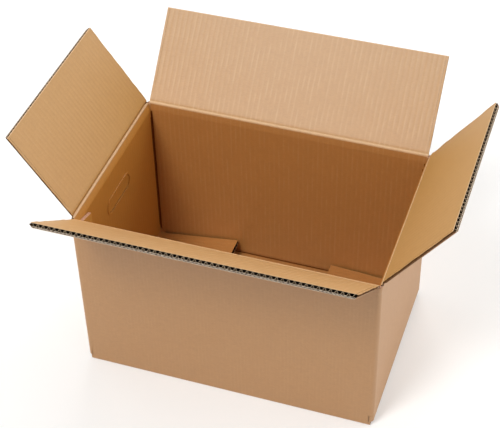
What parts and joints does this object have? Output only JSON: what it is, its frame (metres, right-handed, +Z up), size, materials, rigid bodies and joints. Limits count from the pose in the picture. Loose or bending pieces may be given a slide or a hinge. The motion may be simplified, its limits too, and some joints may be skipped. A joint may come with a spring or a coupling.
{
  "type": "corrugated shipping box",
  "caption": "Open slotted shipping box of double-wall corrugated board, with hinged top flaps, fluted cut edges, closed bottom flaps and push-in hand holes.",
  "frame": {"origin": "middle of the bottom, on the floor, under the seam of the outer bottom flaps", "axes": "+X along the long walls to the right, +Y from the front wall to the back wall, +Z up"},
  "size_m": [0.6961, 0.5649, 0.45],
  "materials": {
    "kraft_board": "matt brown kraft liner"
  },
  "bodies": {
    "box_body": {"box_body": "kraft_board"},
    "front_flap": {"front_flap": "kraft_board"},
    "right_flap": {"right_flap": "kraft_board"},
    "back_flap": {"back_flap": "kraft_board"},
    "left_flap": {"left_flap": "kraft_board"}
  },
  "joints": [
    {"name": "front_fold", "type": "hinge", "parent": "box_body", "child": "front_flap", "pos_m": [0, -0.1615, 0.31695], "axis": [1, 0, 0], "range_deg": [-141, 79]},
    {"name": "right_fold", "type": "hinge", "parent": "box_body", "child": "right_flap", "pos_m": [0.248, 0, 0.312], "axis": [0, 1, 0], "range_deg": [-126.5, 93.5]},
    {"name": "back_fold", "type": "hinge", "parent": "box_body", "child": "back_flap", "pos_m": [0, 0.1615, 0.31695], "axis": [-1, 0, 0], "range_deg": [-131.5, 88.5]},
    {"name": "left_fold", "type": "hinge", "parent": "box_body", "child": "left_flap", "pos_m": [-0.248, 0, 0.312], "axis": [0, -1, 0], "range_deg": [-125, 95]}
  ]
}
